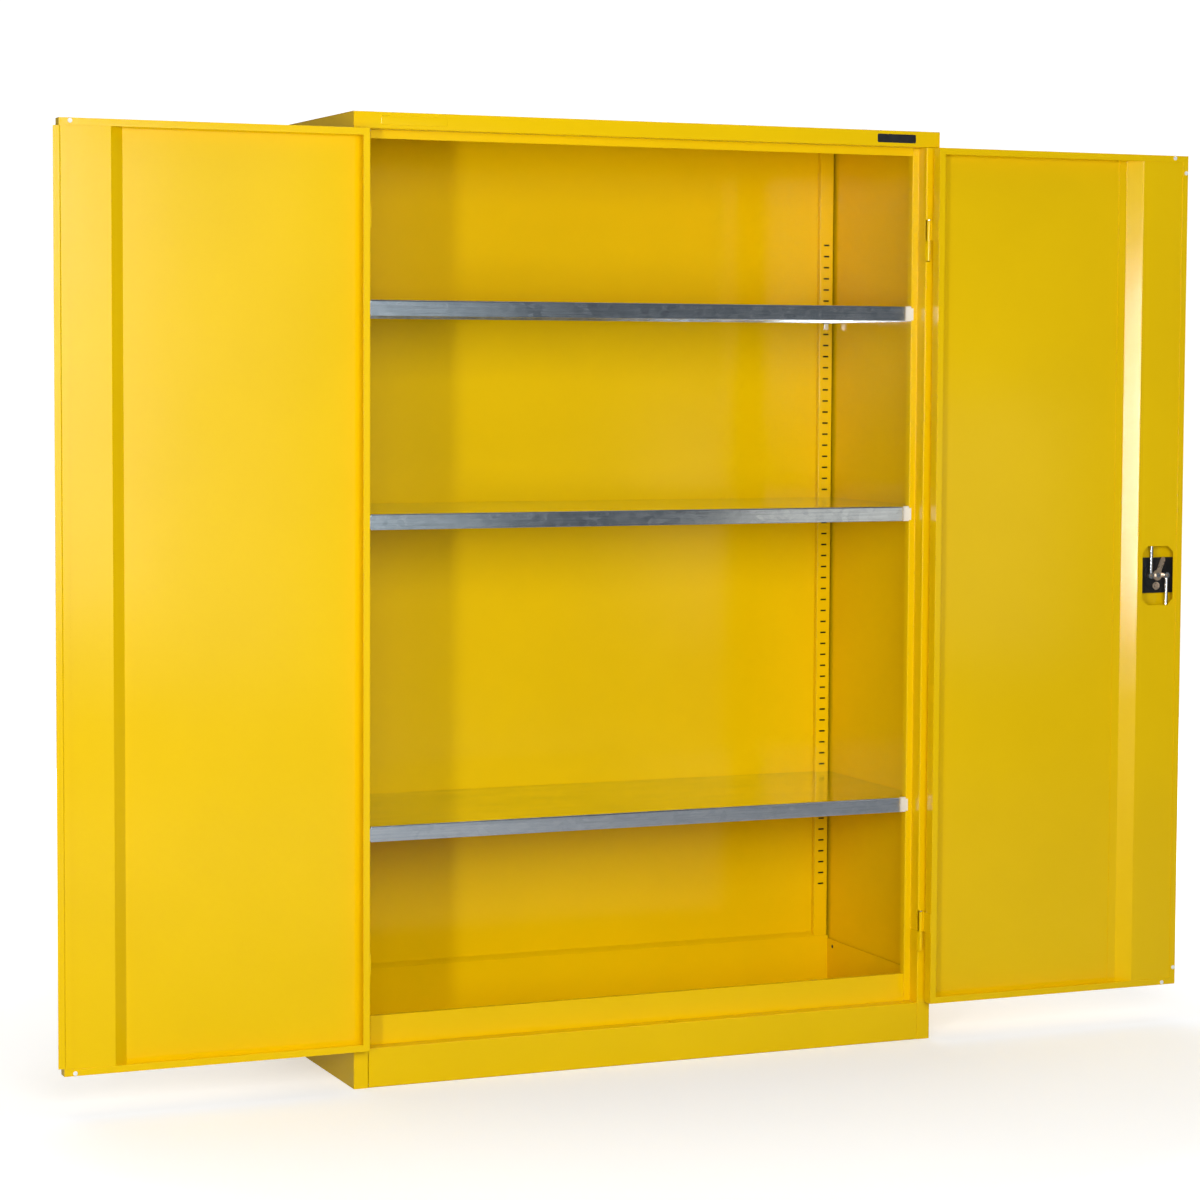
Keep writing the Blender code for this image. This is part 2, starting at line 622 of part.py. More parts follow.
def rod_slot(s, away):
    """Slot that a rod swings and slides in; away is the side it swings to."""
    swing = ROD_SWING * CAM_THROW
    middle = s + away * swing / 2.0
    return long_hole(swing / 2.0 + ROD_SLOP, ROD_R + ROD_SLOP, (-middle, ROD_N + PIVOT_PROUD))


def lock_openings(skin):
    """Hole for the lock's neck and slots for the rods in the right door's pan."""
    neck = circle(NECK_R + GAP, ROUND, (-LOCK_S, LOCK_Z))
    combine(skin, prism("neck", neck, PIVOT_PROUD - 0.002, PIVOT_PROUD + DOOR_SHEET + 0.001, "Y"), "DIFFERENCE")
    upper = rod_slot(LOCK_S - CAM_THROW / 2.0, -1.0)
    lower = rod_slot(LOCK_S + CAM_THROW / 2.0, 1.0)
    combine(skin, prism("upper_slot", upper, DOOR_TOP_Z - 2.0 * DOOR_SHEET, DOOR_TOP_Z + 0.001), "DIFFERENCE")
    combine(skin, prism("lower_slot", lower, DOOR_BOTTOM_Z - 0.001, DOOR_BOTTOM_Z + 2.0 * DOOR_SHEET),
            "DIFFERENCE")


def stiffener(name, parent, side, face_w):
    """Hat section along the free edge, under the pan's lips."""
    half = DOOR_SHEET / 2.0
    foot_n = DOOR_SHEET + GAP + half
    face_n = DOOR_T - DOOR_SHEET - GAP - half
    leg_s = DOOR_FREE_S - DOOR_SHEET - GAP - half
    corner_s = DOOR_FREE_S - face_w
    slope_s = corner_s - STIFFENER_RUN
    path = [(slope_s - STIFFENER_FOOT, foot_n), (slope_s, foot_n), (corner_s, face_n),
            (leg_s, face_n), (leg_s, STIFFENER_LEG_END)]
    low = DOOR_BOTTOM_Z + DOOR_SHEET + GAP
    high = DOOR_TOP_Z - DOOR_SHEET - GAP
    return node(name, prism(name, on_door(side, folded(path, DOOR_SHEET)), low, high), painted(), parent)


def lock_cutout(piece):
    """Eight-sided window over the lock in the right stiffener's face."""
    s = DOOR_FREE_S - CUTOUT_FROM_EDGE
    a = CUTOUT_W / 2.0
    b = CUTOUT_H / 2.0
    c = CUTOUT_CORNER
    corners = [(a, b - c), (a - c, b), (c - a, b), (-a, b - c), (-a, c - b), (c - a, -b), (a - c, -b), (a, c - b)]
    outline = [(-s + x, LOCK_Z + z) for x, z in corners]
    n0 = PIVOT_PROUD + DOOR_T - DOOR_SHEET * 3.0
    combine(piece, prism("window", outline, n0, PIVOT_PROUD + DOOR_T + 0.001, "Y"), "DIFFERENCE")


def meeting_strip(parent):
    """Stepped plate on the left door that the right door closes onto."""
    half = DOOR_SHEET / 2.0
    low_n = DOOR_T + GAP + half
    high_n = DOOR_T + STRIP_STEP + half
    step_s = DOOR_FREE_S - DOOR_EDGE_R
    path = [(DOOR_FREE_S - STRIP_LAP, low_n), (step_s, low_n), (step_s + STRIP_STEP, high_n),
            (DOOR_FREE_S + STRIP_REACH, high_n)]
    outline = on_door(-1.0, folded(path, DOOR_SHEET, DOOR_SHEET))
    mesh = prism("meeting_strip", outline, DOOR_BOTTOM_Z + STRIP_BOTTOM_GAP, DOOR_TOP_Z - STRIP_TOP_GAP)
    node("meeting_strip", mesh, painted(), parent)


def bumper(name, parent, side, s, z):
    """Round nylon pad stuck on a door's inner lip."""
    n0 = PIVOT_PROUD + DOOR_T + GAP
    outline = circle(BUMPER_R, SMALL_ROUND, (-side * s, z))
    node(name, prism(name, outline, n0, n0 + BUMPER_T - GAP, "Y"), (NYLON, 0.5, 0.0), parent, smooth=True)


def bumpers(left_axis, right_axis):
    top = DOOR_TOP_Z - BUMPER_FROM_END
    bottom = DOOR_BOTTOM_Z + BUMPER_FROM_END
    bumper("bumper_left_top", left_axis, -1.0, DOOR_FREE_S - BUMPER_LEFT_INSET - STRIP_REACH / 2.0, top)
    bumper("bumper_left_bottom", left_axis, -1.0, DOOR_FREE_S - BUMPER_LEFT_INSET - STRIP_REACH / 2.0, bottom)
    bumper("bumper_right_top", right_axis, 1.0, DOOR_FREE_S - BUMPER_RIGHT_INSET, top)
    bumper("bumper_right_bottom", right_axis, 1.0, DOOR_FREE_S - BUMPER_RIGHT_INSET, bottom)
    edge_s = DOOR_FREE_S - BUMPER_EDGE_INSET
    bumper("bumper_right_edge_top", right_axis, 1.0, edge_s, DOOR_TOP_Z - BUMPER_EDGE_FROM_END)
    bumper("bumper_right_edge_bottom", right_axis, 1.0, edge_s, DOOR_BOTTOM_Z + BUMPER_EDGE_FROM_END)


# ------------------------------------------------------------------ lock
# Lock pieces are built round the spindle: x across, y = n behind the outer face, z up.
def lock_parts(parent):
    axis = empty("lock_axis", (-LOCK_S, PIVOT_PROUD, LOCK_Z), 0.0, parent)
    handle_housing(axis)
    spindle_and_grip(axis)
    lock_cylinder(axis)
    lock_cam(axis)
    lock_rod("lock_rod_upper", axis, 1.0)
    lock_rod("lock_rod_lower", axis, -1.0)
    for place, sign in (("upper", 1.0), ("lower", -1.0)):
        rod_guide(f"rod_guide_{place}", parent, sign)


def handle_housing(axis):
    """Moulded body: outer dish, neck through the door and a block with a raised ring inside."""
    dish = prism("handle_housing", circle(DISH_R, ROUND), -GAP - DISH_T, -GAP, "Y")
    housing = node("handle_housing", dish, (BLACK, 0.4, 0.0), axis, smooth=True)
    combine(housing, prism("neck", circle(NECK_R, ROUND), -GAP - DISH_T / 2.0, HOUSING_N0 + GAP, "Y"), "UNION")
    block = rectangle(-HOUSING_W / 2.0, HOUSING_W / 2.0, -HOUSING_H / 2.0, HOUSING_H / 2.0)
    combine(housing, prism("block", block, HOUSING_N0, HOUSING_N1, "Y"), "UNION")
    ring = prism("ring", circle(HOUSING_RING_R, ROUND), HOUSING_N1 - GAP, HOUSING_N1 + HOUSING_RING_T, "Y")
    combine(housing, ring, "UNION")
    well = circle(HOUSING_RING_R - HOUSING_RING_WALL, ROUND)
    combine(housing, prism("well", well, HOUSING_N1, HOUSING_N1 + 2.0 * HOUSING_RING_T, "Y"), "DIFFERENCE")
    bore = circle(SPINDLE_R + RUNNING, SMALL_ROUND)
    combine(housing, prism("bore", bore, -0.01, HOUSING_N1 + 0.01, "Y"), "DIFFERENCE")
    barrel = circle(CYLINDER_R + RUNNING, SMALL_ROUND, (0.0, -CYLINDER_DROP))
    combine(housing, prism("barrel", barrel, -0.01, HOUSING_N1 + 0.01, "Y"), "DIFFERENCE")


def spindle_and_grip(axis):
    """Shaft through the housing, with the outer wing grip that turns it."""
    outer_n = -GAP - DISH_T
    shaft = prism("spindle", circle(SPINDLE_R, SMALL_ROUND), outer_n, CAM_N0 - GAP, "Y")
    spindle = node("spindle", shaft, plated(), axis, smooth=True)
    socket = circle(SCREW_R + GAP, SMALL_ROUND)
    combine(spindle, prism("socket", socket, CAM_N1 - SCREW_L - GAP, CAM_N0, "Y"), "DIFFERENCE")
    hub_n = outer_n - GAP
    hub = prism("handle_grip", circle(GRIP_HUB_R, ROUND), hub_n - GRIP_HUB_T, hub_n, "Y")
    grip = node("handle_grip", hub, (BLACK, 0.35, 0.0), axis, smooth=True)
    half = GRIP_WING_L / 2.0
    wide = GRIP_WING_W / 2.0
    tip = wide * GRIP_TAPER
    wing = [(-wide, 0.0), (-tip, half - wide), (0.0, half), (tip, half - wide),
            (wide, 0.0), (tip, wide - half), (0.0, -half), (-tip, wide - half)]
    wing_n = hub_n - GRIP_HUB_T + GAP
    combine(grip, prism("wing", wing, wing_n - GRIP_WING_T, wing_n, "Y"), "UNION")


def lock_cylinder(axis):
    """Key cylinder beside the spindle, with a keyway in its outer face."""
    outer = -GAP - DISH_T - CYLINDER_PROUD
    centre = (0.0, -CYLINDER_DROP)
    barrel = prism("lock_cylinder", circle(CYLINDER_R, SMALL_ROUND), outer, HOUSING_N1, "Y")
    cylinder = node("lock_cylinder", barrel, plated(0.2), axis, (centre[0], 0.0, centre[1]), smooth=True)
    way = rectangle(-KEYWAY_W / 2.0, KEYWAY_W / 2.0, -KEYWAY_H / 2.0, KEYWAY_H / 2.0)
    combine(cylinder, prism("keyway", way, outer - 0.001, outer + KEYWAY_DEPTH, "Y"), "DIFFERENCE")


def lock_cam(axis):
    """Plate on the spindle with two rod pins and a tongue, held by a screw."""
    arm = rectangle(-CAM_THROW, CAM_THROW, -CAM_END_R * CAM_ARM, CAM_END_R * CAM_ARM)
    cam = node("lock_cam", prism("lock_cam", arm, CAM_N0, CAM_N1, "Y"), plated(0.25), axis, smooth=True)
    combine(cam, prism("hub", circle(CAM_HUB_R, ROUND), CAM_N0, CAM_N1, "Y"), "UNION")
    turn = TONGUE_ANGLE
    across = (math.cos(turn), math.sin(turn))
    along = (-math.sin(turn), math.cos(turn))
    half = TONGUE_W / 2.0
    tongue = [(a * across[0] + b * along[0], a * across[1] + b * along[1])
              for a, b in ((-half, 0.0), (half, 0.0), (half, TONGUE_L - half), (half / 2.0, TONGUE_L),
                           (-half / 2.0, TONGUE_L), (-half, TONGUE_L - half))]
    combine(cam, prism("tongue", tongue, CAM_N0, CAM_N1, "Y"), "UNION")
    for x in (-CAM_THROW, CAM_THROW):
        combine(cam, prism("end", circle(CAM_END_R, SMALL_ROUND, (x, 0.0)), CAM_N0, CAM_N1, "Y"), "UNION")
        pin = circle(CAM_PIN_R, SMALL_ROUND, (x, 0.0))
        combine(cam, prism("pin", pin, CAM_N0 + GAP, CAM_N1 + CAM_PIN_L, "Y"), "UNION")
    hole = circle(SCREW_R + GAP, SMALL_ROUND)
    combine(cam, prism("hole", hole, CAM_N0 - 0.001, CAM_N1 + 0.001, "Y"), "DIFFERENCE")
    head_n = CAM_N1 + GAP
    shank = prism("cam_screw", circle(SCREW_R, SMALL_ROUND), CAM_N1 - SCREW_L, head_n + GAP, "Y")
    screw = node("cam_screw", shank, plated(0.25), axis, smooth=True)
    combine(screw, prism("head", circle(SCREW_HEAD_R, 6), head_n, head_n + SCREW_HEAD_T, "Y"), "UNION")


def rod_run(sign):
    """Height from the spindle to the door's end, for the upper or the lower rod."""
    return DOOR_TOP_Z - LOCK_Z if sign > 0.0 else LOCK_Z - DOOR_BOTTOM_Z


def lock_rod(name, axis, sign):
    """Round rod on a cam pin; it leans from the pin to its guide half a throw away."""
    run = rod_run(sign)
    lean = math.atan2(CAM_THROW / 2.0, run - GUIDE_FROM_END)
    length = (run - ROD_BACKSET) / math.cos(lean)
    low, high = sorted((sign * (ROD_EYE_R - 0.0010), sign * length))
    bar = prism(name, circle(ROD_R, SMALL_ROUND), low, high)
    place = (sign * CAM_THROW, ROD_N, 0.0)
    rod = node(name, bar, plated(0.22), axis, place, (0.0, -lean, 0.0), smooth=True)
    half = ROD_EYE_T / 2.0
    combine(rod, prism("eye", circle(ROD_EYE_R, SMALL_ROUND), -half, half, "Y"), "UNION")
    hole = circle(CAM_PIN_R + RUNNING, SMALL_ROUND)
    combine(rod, prism("eye_hole", hole, -ROD_R - 0.001, ROD_R + 0.001, "Y"), "DIFFERENCE")


def rod_guide(name, parent, sign):
    """Nylon block inside the stiffener that steers a rod's end."""
    s = LOCK_S - sign * CAM_THROW / 2.0
    middle = (DOOR_TOP_Z if sign > 0.0 else DOOR_BOTTOM_Z) - sign * GUIDE_FROM_END
    n0 = ROD_N - GUIDE_REACH[0]
    n1 = ROD_N + GUIDE_REACH[1]
    box = door_box(1.0, s - GUIDE_W / 2.0, s + GUIDE_W / 2.0, n0, n1, middle - GUIDE_T / 2.0, middle + GUIDE_T / 2.0)
    guide = node(name, boxes(name, [box]), (BLACK, 0.5, 0.0), parent)
    combine(guide, prism("slot", rod_slot(s, -sign), middle - GUIDE_T, middle + GUIDE_T), "DIFFERENCE")


# ------------------------------------------------------------------ assembly
def build_body():
    side_panel("side_panel_left", -1.0)
    side_panel("side_panel_right", 1.0)
    back_panel()
    top_panel()
    header_stop()
    plinth_front()
    sump_tray()
    for label, side in (("left", -1.0), ("right", 1.0)):
        upright(f"upright_rear_{label}", side, UPRIGHT_BACK_V, UPRIGHT_REAR_FACE_V, GAP)
        upright(f"upright_front_{label}", side, UPRIGHT_FRONT_V, UPRIGHT_FRONT_FACE_V, UPRIGHT_FOOT_Z)


def build_shelves():
    for place, share in SHELF_SHARES.items():
        number = shelf_slot(share)
        shelf(f"shelf_{place}", number)
        for label, side in (("left", -1.0), ("right", 1.0)):
            shelf_clip(f"clip_{place}_rear_{label}", side, number, UPRIGHT_REAR_FACE_V, -1.0)
            shelf_clip(f"clip_{place}_front_{label}", side, number, UPRIGHT_FRONT_FACE_V, 1.0)


def build_doors():
    axes = {}
    for label, side in (("left", -1.0), ("right", 1.0)):
        place = (side * PIVOT_X, FRONT_Y - PIVOT_PROUD, 0.0)
        frame_axis = empty(f"hinge_axis_{label}", place)
        door_axis = empty(f"door_axis_{label}", place, side * OPEN_ANGLE)
        axes[label] = door_axis
        hinges(label, side, frame_axis, door_axis)
        skin = door_skin(f"door_skin_{label}", door_axis, side)
        brace = stiffener(f"door_stiffener_{label}", door_axis, side, STIFFENER_FACE[label])
        if label == "right":
            lock_openings(skin)
            lock_cutout(brace)
    meeting_strip(axes["left"])
    bumpers(axes["left"], axes["right"])
    lock_parts(axes["right"])


clear_scene()
build_body()
build_shelves()
build_doors()
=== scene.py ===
"""Look of a flammable storage cabinet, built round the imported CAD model.

The CAD nodes stay as they are and get paint, zinc, plating or plastic. Small trim rides on
the bodies. Units are metres, +Z is up and the doors are on the -Y side.
"""
import json
import math

import bmesh
import bpy
from mathutils import Matrix, Vector


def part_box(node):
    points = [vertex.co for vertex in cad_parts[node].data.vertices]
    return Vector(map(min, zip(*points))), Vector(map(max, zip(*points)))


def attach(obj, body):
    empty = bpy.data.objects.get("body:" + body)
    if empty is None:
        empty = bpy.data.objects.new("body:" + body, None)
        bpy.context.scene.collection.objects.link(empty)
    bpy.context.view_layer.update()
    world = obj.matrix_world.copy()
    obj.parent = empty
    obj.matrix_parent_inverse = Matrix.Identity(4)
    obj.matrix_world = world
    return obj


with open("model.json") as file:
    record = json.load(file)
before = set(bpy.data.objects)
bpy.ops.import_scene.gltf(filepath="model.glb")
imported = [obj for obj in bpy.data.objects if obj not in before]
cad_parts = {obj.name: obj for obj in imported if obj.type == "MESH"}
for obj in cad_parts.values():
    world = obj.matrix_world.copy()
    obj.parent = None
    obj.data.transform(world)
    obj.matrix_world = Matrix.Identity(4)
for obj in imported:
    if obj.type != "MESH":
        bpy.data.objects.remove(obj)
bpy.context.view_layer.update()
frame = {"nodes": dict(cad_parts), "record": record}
NODES = frame["nodes"]
SCENE = bpy.context.scene

# ------------------------------------------------------------------ camera
FRONT_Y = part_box("side_panel_left")[0].y
CAMERA_AT = (-2.5001, FRONT_Y - 5.6199, 1.3740)
CAMERA_YAW = math.radians(22.978)
CAMERA_PITCH = math.radians(-3.74)
CAMERA_ROLL = math.radians(0.29)
CAMERA_SENSOR = 36.0
CAMERA_LENS = 95.394
CAMERA_SHIFT_Y = -0.02733
CAMERA_REACH = 100.0


def make_camera():
    """Camera at standing height, a little to the cabinet's left and turned in toward it."""
    data = bpy.data.cameras.new("camera")
    data.sensor_width = CAMERA_SENSOR
    data.lens = CAMERA_LENS
    data.shift_y = CAMERA_SHIFT_Y
    data.clip_end = CAMERA_REACH
    camera = bpy.data.objects.new("camera", data)
    SCENE.collection.objects.link(camera)
    ahead = Vector((math.sin(CAMERA_YAW) * math.cos(CAMERA_PITCH),
                    math.cos(CAMERA_YAW) * math.cos(CAMERA_PITCH), math.sin(CAMERA_PITCH)))
    right = Vector((math.cos(CAMERA_YAW), -math.sin(CAMERA_YAW), 0.0))
    up = right.cross(ahead)
    rolled_right = math.cos(CAMERA_ROLL) * right + math.sin(CAMERA_ROLL) * up
    rolled_up = -math.sin(CAMERA_ROLL) * right + math.cos(CAMERA_ROLL) * up
    turn = Matrix((rolled_right, rolled_up, -ahead)).transposed()
    camera.matrix_world = Matrix.Translation(CAMERA_AT) @ turn.to_4x4()
    SCENE.camera = camera


# ------------------------------------------------------------------ light
WHITE = (1.0, 1.0, 1.0)
# name, place, what it is aimed at, width, height, radiance, colour
LIGHTS = (
    # the tall strip at the left that draws the highlights, and the soft light round it
    ("key", (-3.45, -4.25, 1.05), (0.3, 0.0, 1.05), 0.25, 1.30, 69.0, WHITE),
    ("wide", (-4.30, -3.30, 1.60), (0.1, 0.0, 0.95), 2.6, 2.2, 0.35, WHITE),
    ("front_high", (-1.30, -4.80, 1.95), (0.1, 0.0, 0.85), 2.4, 1.7, 8.6, WHITE),
    # what the glossy back panel and the shelves mirror
    ("sheen_near", (-0.60, -4.35, 1.35), (-0.6, 0.0, 1.1), 1.4, 1.5, 2.2, WHITE),
    ("sheen_middle", (-0.35, -4.40, 1.25), (-0.35, 0.0, 1.1), 1.9, 1.8, 0.8, (0.90, 0.98, 1.0)),
    ("sheen_far", (0.00, -4.45, 1.00), (0.0, 0.0, 1.1), 2.6, 2.4, 0.28, (0.80, 0.94, 1.0)),
    ("sheen_right", (2.80, -4.40, 0.80), (0.5, 0.0, 0.9), 1.1, 0.9, 0.55, (1.0, 0.97, 0.87)),
    # the cabinet's top, back and right side
    ("overhead", (0.0, 2.2, 4.4), (0.0, 1.4, 0.0), 8.0, 8.0, 1.1, WHITE),
    ("back_fill", (0.6, 5.6, 2.2), (0.0, 0.0, 0.9), 4.0, 3.0, 1.9, WHITE),
    ("side_fill", (5.6, 1.6, 1.9), (0.6, 0.2, 0.9), 3.0, 3.0, 1.5, WHITE),
)
BACKDROP_COLOUR = WHITE
BACKDROP_STRENGTH = 1.1
AMBIENT_COLOUR = (0.84, 0.94, 1.06)
AMBIENT_STRENGTH = 0.11


def softbox(name, place, target, width, height, radiance, colour):
    """Rectangular light of a given radiance, whatever its size; the camera doesn't see it."""
    data = bpy.data.lights.new(name, "AREA")
    data.shape = "RECTANGLE"
    data.size = width
    data.size_y = height
    data.energy = radiance * math.pi * width * height
    data.color = colour
    light = bpy.data.objects.new(name, data)
    SCENE.collection.objects.link(light)
    light.location = place
    light.rotation_euler = (Vector(target) - Vector(place)).to_track_quat("-Z", "Y").to_euler()
    light.visible_camera = False


def only_for_camera(nodes, links, seen, otherwise, out):
    """Show one shader to the camera and another to the light that bounces."""
    path = nodes.new("ShaderNodeLightPath")
    mix = nodes.new("ShaderNodeMixShader")
    links.new(path.outputs["Is Camera Ray"], mix.inputs["Fac"])
    links.new(otherwise, mix.inputs[1])
    links.new(seen, mix.inputs[2])
    links.new(mix.outputs["Shader"], out)


def background(nodes, colour, strength):
    """World shader of one colour."""
    node = nodes.new("ShaderNodeBackground")
    node.inputs["Color"].default_value = (*colour, 1.0)
    node.inputs["Strength"].default_value = strength
    return node.outputs["Background"]


def studio():
    """Softboxes, and a world that looks white but gives only a little bluish light."""
    for light in LIGHTS:
        softbox(*light)
    world = bpy.data.worlds.new("studio")
    SCENE.world = world
    world.use_nodes = True
    tree = world.node_tree
    tree.nodes.clear()
    seen = background(tree.nodes, BACKDROP_COLOUR, BACKDROP_STRENGTH)
    dim = background(tree.nodes, AMBIENT_COLOUR, AMBIENT_STRENGTH)
    out = tree.nodes.new("ShaderNodeOutputWorld")
    only_for_camera(tree.nodes, tree.links, seen, dim, out.inputs["Surface"])
    SCENE.view_settings.view_transform = "Standard"
    SCENE.view_settings.look = "None"


# ------------------------------------------------------------------ material nodes
# most of a noise's values lie between these
NOISE_SPAN = (0.35, 0.65)


class Tree:
    """Short way to build a Principled material's nodes."""

    def __init__(self, name):
        self.material = bpy.data.materials.new(name)
        self.material.use_nodes = True
        self.nodes = self.material.node_tree.nodes
        self.links = self.material.node_tree.links
        self.shader = self.nodes["Principled BSDF"]
        self.place = self.nodes.new("ShaderNodeTexCoord").outputs["Object"]

    def put(self, **values):
        """Set the shader's inputs, with underscores for the spaces in their names."""
        for name, value in values.items():
            self.shader.inputs[name.replace("_", " ")].default_value = value

    def link(self, source, target):
        self.links.new(source, target)

    def scaled(self, scale):
        """The place, scaled along each axis."""
        node = self.nodes.new("ShaderNodeMapping")
        node.inputs["Scale"].default_value = scale
        self.link(self.place, node.inputs["Vector"])
        return node.outputs["Vector"]

    def axes(self):
        """The place's X, Y and Z."""
        node = self.nodes.new("ShaderNodeSeparateXYZ")
        self.link(self.place, node.inputs["Vector"])
        return node.outputs

    def noise(self, scale, detail=2.0, roughness=0.5, vector=None):
        node = self.nodes.new("ShaderNodeTexNoise")
        node.inputs["Scale"].default_value = scale
        node.inputs["Detail"].default_value = detail
        node.inputs["Roughness"].default_value = roughness
        self.link(vector or self.place, node.inputs["Vector"])
        return node.outputs["Fac"]

    def voronoi(self, scale, vector=None, output="Color"):
        node = self.nodes.new("ShaderNodeTexVoronoi")
        node.inputs["Scale"].default_value = scale
        self.link(vector or self.place, node.inputs["Vector"])
        return node.outputs[output]

    def ramp(self, source, stops):
        """Colours at positions along a value, blended in between."""
        node = self.nodes.new("ShaderNodeValToRGB")
        band = node.color_ramp
        for element, (position, colour) in zip(band.elements, (stops[0], stops[-1])):
            element.position = position
            element.color = (*colour, 1.0)
        for position, colour in stops[1:-1]:
            band.elements.new(position).color = (*colour, 1.0)
        self.link(source, node.inputs["Fac"])
        return node.outputs["Color"]

    def between(self, source, low, high, start=0.0, end=1.0):
        """Go from `low` to `high` while a value goes from `start` to `end`."""
        node = self.nodes.new("ShaderNodeMapRange")
        node.inputs["From Min"].default_value = start
        node.inputs["From Max"].default_value = end
        node.inputs["To Min"].default_value = low
        node.inputs["To Max"].default_value = high
        self.link(source, node.inputs["Value"])
        return node.outputs["Result"]

    def maths(self, operation, a, b=0.0):
        node = self.nodes.new("ShaderNodeMath")
        node.operation = operation
        for source, target in ((a, node.inputs[0]), (b, node.inputs[1])):
            if isinstance(source, float):
                target.default_value = source
            else:
                self.link(source, target)
        return node.outputs["Value"]

    def mixed(self, factor, a, b, blend="MIX"):
        node = self.nodes.new("ShaderNodeMix")
        node.data_type = "RGBA"
        node.blend_type = blend
        # the colour sockets; the ones between are for numbers and vectors
        sockets = {"Factor": node.inputs[0], "A": node.inputs[6], "B": node.inputs[7]}
        for key, source in (("Factor", factor), ("A", a), ("B", b)):
            if isinstance(source, float):
                sockets[key].default_value = source
            elif isinstance(source, tuple):
                sockets[key].default_value = (*source, 1.0)
            else:
                self.link(source, sockets[key])
        return node.outputs[2]

    def patchy_roughness(self, source, rough):
        """Roughness that wanders between two values with a noise."""
        low, high = rough
        self.link(self.between(source, low, high, *NOISE_SPAN), self.shader.inputs["Roughness"])

    def bump(self, height, distance):
        node = self.nodes.new("ShaderNodeBump")
        node.inputs["Distance"].default_value = distance
        self.link(height, node.inputs["Height"])
        self.link(node.outputs["Normal"], self.shader.inputs["Normal"])


# ------------------------------------------------------------------ powder coat
YELLOW_DEEP = (0.855, 0.543, 0.0005)
YELLOW_FULL = (0.890, 0.567, 0.0007)
COAT_ROUGH = (0.10, 0.14)
CHANNEL_SHADE_MARGIN = 0.0007
# dark colour of the channels inside the rear uprights: painted shade
CHANNEL_SHADE_COLOUR = (0.035, 0.026, 0.010)


def within(t, source, low, high):
    """1 where a value lies between two limits, 0 elsewhere."""
    above = t.maths("GREATER_THAN", source, low)
    return t.maths("MULTIPLY", above, t.maths("LESS_THAN", source, high))


def channel_shade_mask(t):
    """1 inside the rear uprights' channels, where shade is painted in, 0 elsewhere."""
    low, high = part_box("upright_rear_right")
    place = t.axes()
    across = t.maths("ABSOLUTE", place["X"])
    over = within(t, across, low.x + CHANNEL_SHADE_MARGIN, high.x + CHANNEL_SHADE_MARGIN)
    return t.maths("MULTIPLY", over, within(t, place["Y"], low.y + CHANNEL_SHADE_MARGIN, high.y + CHANNEL_SHADE_MARGIN))


def powder_coat(name, painted_channel_shade=False):
    """Gloss powder coat: even colour with faint clouds, orange peel and fine grain, with painted shade
    in the rear uprights' channels if asked.
    """
    t = Tree(name)
    clouds = t.noise(scale=3.1, detail=3.0)
    coat = t.ramp(clouds, [(0.35, YELLOW_DEEP), (0.65, YELLOW_FULL)])
    if painted_channel_shade:
        # painted shade: the rear uprights' channels are coloured dark
        coat = t.mixed(channel_shade_mask(t), coat, CHANNEL_SHADE_COLOUR)
    t.link(coat, t.shader.inputs["Base Color"])
    t.patchy_roughness(t.noise(scale=11.0, detail=4.0, roughness=0.6), COAT_ROUGH)
    t.put(Specular_IOR_Level=0.30)
    peel = t.noise(scale=260.0, detail=2.0, roughness=0.45)
    grain = t.noise(scale=1500.0, detail=1.0)
    t.bump(t.maths("ADD", peel, t.maths("MULTIPLY", grain, 0.25)), distance=0.00006)
    return t.material


# ------------------------------------------------------------------ zinc
# A shelf's front edge turns paler, rougher and less metallic near its right end.
SHELF_FRONT_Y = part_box("shelf_top")[0].y
FASCIA_END_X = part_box("shelf_top")[1].x - 0.0365
PALE_END_FROM_X = FASCIA_END_X - 0.0205
PALE_END_FULL_X = FASCIA_END_X - 0.0145
PALE_END_FULL_Y = SHELF_FRONT_Y + 0.002
PALE_END_TO_Y = SHELF_FRONT_Y + 0.004
PALE_END_ZINC = (0.93, 0.94, 0.95)
PALE_END_METALLIC = 0.45
PALE_END_ROUGHER = 0.36

ZINC_GREY = (0.80, 0.84, 0.88)
ZINC_BRIGHT = (0.91, 0.93, 0.95)
# tints that multiply the zinc's colour
STREAK_DARK = (0.78, 0.79, 0.80)
STREAK_MIDDLE = (0.94, 0.945, 0.95)
FLECK_DARK = (0.90, 0.905, 0.91)
ZINC_ROUGH = (0.11, 0.18)


def pale_end_patch(t):
    """1 near the right end of a shelf's front edge, where it turns paler, 0 elsewhere."""
    place = t.axes()
    on_front = t.between(place["Y"], 1.0, 0.0, PALE_END_FULL_Y, PALE_END_TO_Y)
    return t.maths("MULTIPLY", t.between(place["X"], 0.0, 1.0, PALE_END_FROM_X, PALE_END_FULL_X), on_front)


